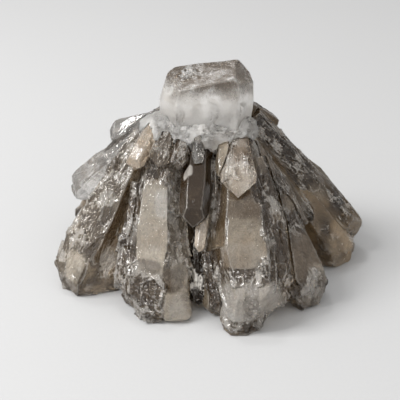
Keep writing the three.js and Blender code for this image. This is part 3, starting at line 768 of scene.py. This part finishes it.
skin("right_ridge_crystal", (36.0, 8.5, -37.0), smoky, wear=3, crumble=0.35, fracture_glint=0.4, smoke=0.7,
     chips=(4.0, 0.35))
skin("crown_spur_crystal", (22.0, 8.0, -16.0), dark, wear=3, crumble=0.35, fracture_glint=0.3, smoke=0.7,
     chips=(4.0, 0.35))

# ---------------------------------------------------------------------------
# The crystals between the two right-hand ones. A grey-brown crystal that ends in
# a crumbly pale foot, and a thin one wedged in beside it.
# ---------------------------------------------------------------------------
skin("front_right_foot_crystal", (18.0, -28.0, -43.0), smoky, wear=3, fracture_glint=0.5, chips=(3.5, 0.4),
     crumble=(0.5, touch(0.7, near=(33.0, -31.0, 6.0), reach=(6.0, 6.0, 9.0))),
     smoke=(0.85, touch(0.45, near=(34.0, -31.0, 6.0), reach=(5.0, 6.0, 9.0))),
     milk=(0.0, touch(0.35, near=(34.0, -31.0, 6.0), reach=(5.0, 6.0, 9.0))), stain=0.25)
skin("band_crystal", (18.0, -14.0, -27.0), smoky, voxel=0.3, wear=2, crumble=0.5, smoke=0.8,
     chips=(3.5, 0.4), fracture_glint=0.4)

# ---------------------------------------------------------------------------
# The small crystals in the cleft. A nearly black one above, a pale sliver across
# it, a short white needle over it and broken brown ones down in its foot.
# ---------------------------------------------------------------------------
stained = quartz("stained_quartz_skin", (0.34, 0.25, 0.17, 1.0), (0.93, 0.83, 0.70, 1.0), 0.75, varnish=0.1,
                 gloss=0.12, hollows=0.7)
black = quartz("cleft_quartz_skin", (0.026, 0.014, 0.005, 1.0), (0.26, 0.18, 0.10, 1.0), 0.3, varnish=0.0,
               dark_fleck_and_shade=(0.02, 0.012, 0.006, 1.0), gloss=0.08, speckle=0.1, shine=0.3, rim_wear_and_highlight=0.2,
               haze=(0.22, 0.16, 0.10, 1.0), veil_share=0.2, bands=0.1)
skin("cleft_crystal", (-2.2, -26.0, -18.0), black, voxel=0.3, wear=1, smoke=1.2, crumble=0.0,
     fracture_glint=0.0, chips=(4.0, 0.3),
     milk=(0.0, touch(0.5, near=(-8.5, -17.0, 42.0), reach=(1.6, 2.0, 3.0))))
skin("sliver_crystal", (-2.9, -18.0, -16.0), stained, voxel=0.25, wear=1, smoke=0.35, crumble=0.1,
     stain=0.5, milk=0.15, sway=(6.0, 0.2))
skin("white_needle_crystal", (0.0, -9.0, -10.0), clear, voxel=0.25, wear=1, milk=0.4, smoke=0.35,
     crumble=0.3, chips=(2.5, 0.4), sway=(5.0, 0.4))
skin("lower_left_crystal", (-0.5, -18.0, -24.0), black, voxel=0.3, wear=2, crumble=0.8, smoke=0.8,
     chips=(4.0, 0.45))
skin("lower_right_crystal", (5.0, -21.0, -24.0), smoky, voxel=0.3, wear=2, crumble=0.8, smoke=0.8,
     chips=(4.0, 0.45))
skin("lower_foot_crystal", (2.0, -17.0, -19.0), smoky, voxel=0.3, wear=3, crumble=0.3, smoke=0.75)

# ---------------------------------------------------------------------------
# The nub over the window face and the shard beside it. A short tan crystal with
# crisp little faces, and a grey splinter.
# ---------------------------------------------------------------------------
skin("nub_crystal", (-1.0, -19.0, -10.6), stained, voxel=0.25, wear=1, chips=(4.0, 0.35),
     steps=(1.6, 0.05), sway=(6.0, 0.2), fracture_glint=0.6,
     smoke=(0.25, touch(0.8, near=(8.0, -12.0, 48.0), reach=(8.0, 8.0, 5.0))), crumble=0.45,
     stain=(0.5, touch(0.1, near=(8.0, -12.0, 48.0), reach=(8.0, 8.0, 5.0))),
     milk=(0.3, touch(0.0, near=(8.0, -12.0, 48.0), reach=(8.0, 8.0, 5.0))))
skin("shard_crystal", (0.2, -13.0, -11.0), smoky, voxel=0.25, wear=1, smoke=0.6, crumble=0.3)

# ---------------------------------------------------------------------------
# The stained shards under the crown. A flat rounded finger on the left and two
# shards beside it, stained tan by iron and half sunk in the root mass.
# ---------------------------------------------------------------------------
skin("left_finger_crystal", (-8.0, -11.5, -12.0), stained, voxel=0.3, wear=5, crumble=0.2,
     stain=0.7, milk=0.15, smoke=0.3, fracture_glint=0.2, sway=(6.0, 0.4))
skin("stained_shard_left", (-5.0, -11.0, -10.0), stained, voxel=0.25, wear=2, stain=0.5,
     smoke=0.35, milk=0.2, crumble=0.8, chips=(3.0, 0.4), sway=(5.0, 0.9))
skin("stained_shard_right", (-2.0, -11.0, -9.0), stained, voxel=0.25, wear=2, stain=0.5,
     smoke=0.55, milk=0.1, crumble=0.8, chips=(3.0, 0.4), sway=(5.0, 0.9))

# ---------------------------------------------------------------------------
# The crystals of the back and the middle. Stout smoky and dark ones that carry
# the stone at the back, and short clear and tan ones round the crown.
# ---------------------------------------------------------------------------
BACK = (
    ("back_left_crystal", (-17, 38, -55), smoky, "smoky_quartz", 0.45, 0.75),
    ("back_right_crystal", (9, 37, -53), smoky, "smoky_quartz", 0.6, 0.75),
    ("left_back_crystal", (-31, 22, -51), dark, "dark_quartz", 0.35, 0.7),
    ("right_back_crystal", (32, 25, -52), dark, "dark_quartz", 0.3, 0.7),
    ("back_centre_crystal", (-3, 38, -39), clear, "clear_quartz", 0.25, 0.4),
    ("left_under_crystal", (-32, 4, -50), smoky, "smoky_quartz", 0.5, 0.75),
    ("right_under_crystal", (34, 8, -50), smoky, "smoky_quartz", 0.35, 0.7),
    ("back_under_crystal", (-3, 26, -48), dark, "dark_quartz", 0.3, 0.8),
    ("back_nub_left_crystal", (-10, 20, -17), stained, "stained_quartz", 0.3, 0.4),
    ("back_nub_right_crystal", (5, 22, -16), clear, "clear_quartz", 0.3, 0.4),
    ("back_finger_crystal", (-3, 16, -13), stained, "stained_quartz", 0.2, 0.3),
    ("right_finger_crystal", (16, 16, -18), clear, "clear_quartz", 0.4, 0.5),
    ("left_shoulder_crystal", (-19, 17, -20), clear, "clear_quartz", 0.35, 0.5),
    ("centre_crystal", (0, 0, -56), smoky, "dark_quartz", 0.2, 0.7),
)
for node, axis, finish, kind, broken_share, smoke_share in BACK:
    skin(node, axis, finish, wear=3, crumble=broken_share, smoke=smoke_share, chips=(4.5, 0.4))
